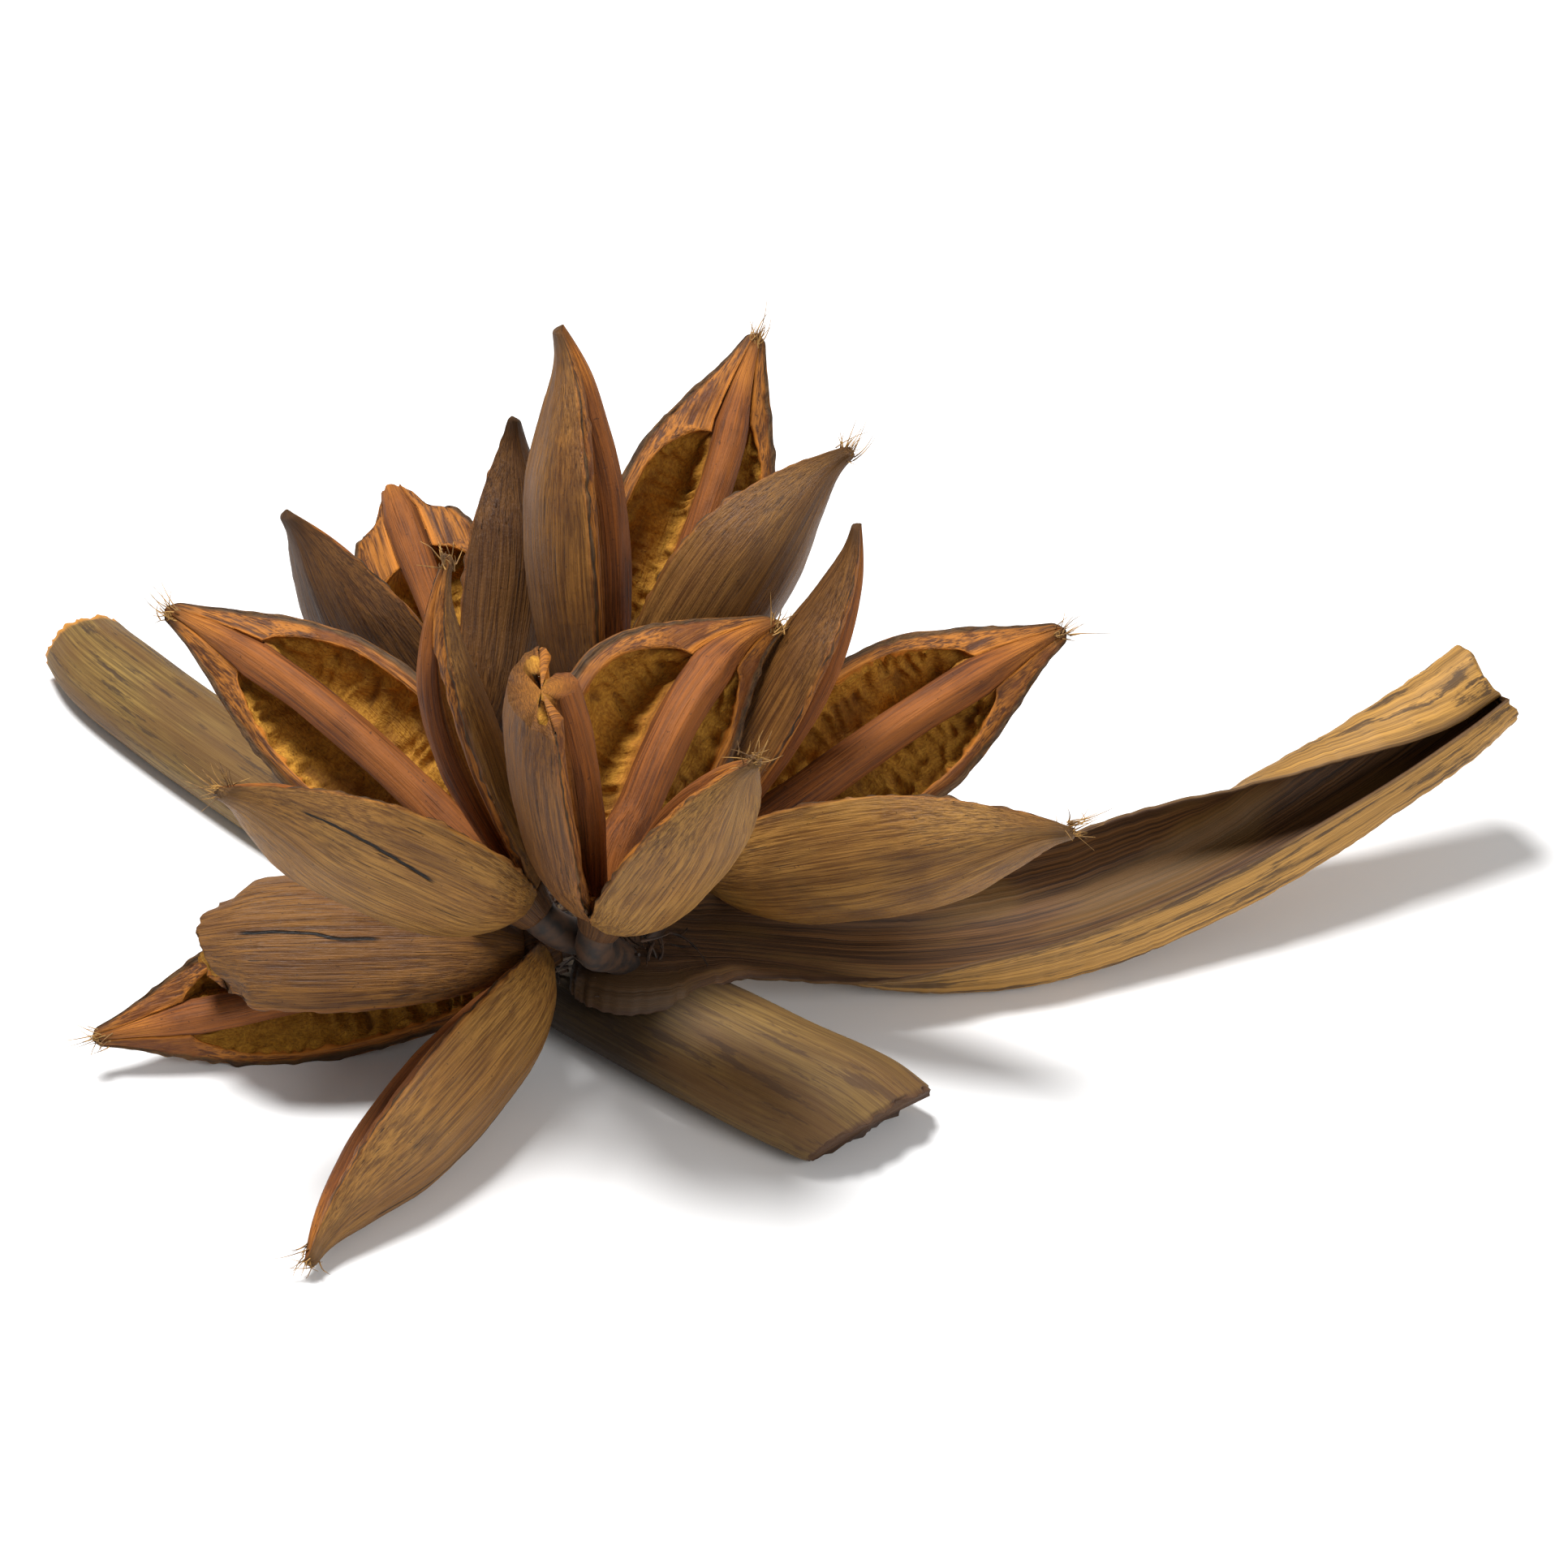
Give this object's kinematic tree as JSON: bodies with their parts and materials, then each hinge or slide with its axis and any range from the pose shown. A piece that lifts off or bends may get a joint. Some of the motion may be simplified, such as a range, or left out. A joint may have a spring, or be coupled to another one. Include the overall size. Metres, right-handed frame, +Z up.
{
  "type": "dried star pod cluster",
  "caption": "Dried cluster of split woody star pods with boat-shaped valves and open seed chambers, on a cut flower stalk with one gutter-shaped bract",
  "frame": {"origin": "on the table, under the middle of the cluster's bounding box", "axes": "+Z up from the table, +X along the longest side towards the cut tip of the bract, +Y away from the camera of the picture"},
  "size_m": [0.3757, 0.2539, 0.1453],
  "materials": {
    "pod_wood": "dry fibrous woody husk, warm brown outside, orange rims, ochre seed chambers",
    "stalk_skin": "dry olive-brown stalk skin, streaked and mottled, matt",
    "bract_skin": "dry leathery golden-brown bract with dark streaks, matt"
  },
  "bodies": {
    "root": {"stalk": "stalk_skin", "bract": "bract_skin", "pod_top": "pod_wood", "pod_left": "pod_wood", "pod_centre": "pod_wood", "pod_right": "pod_wood", "pod_back": "pod_wood", "pod_low": "pod_wood"}
  },
  "joints": []
}
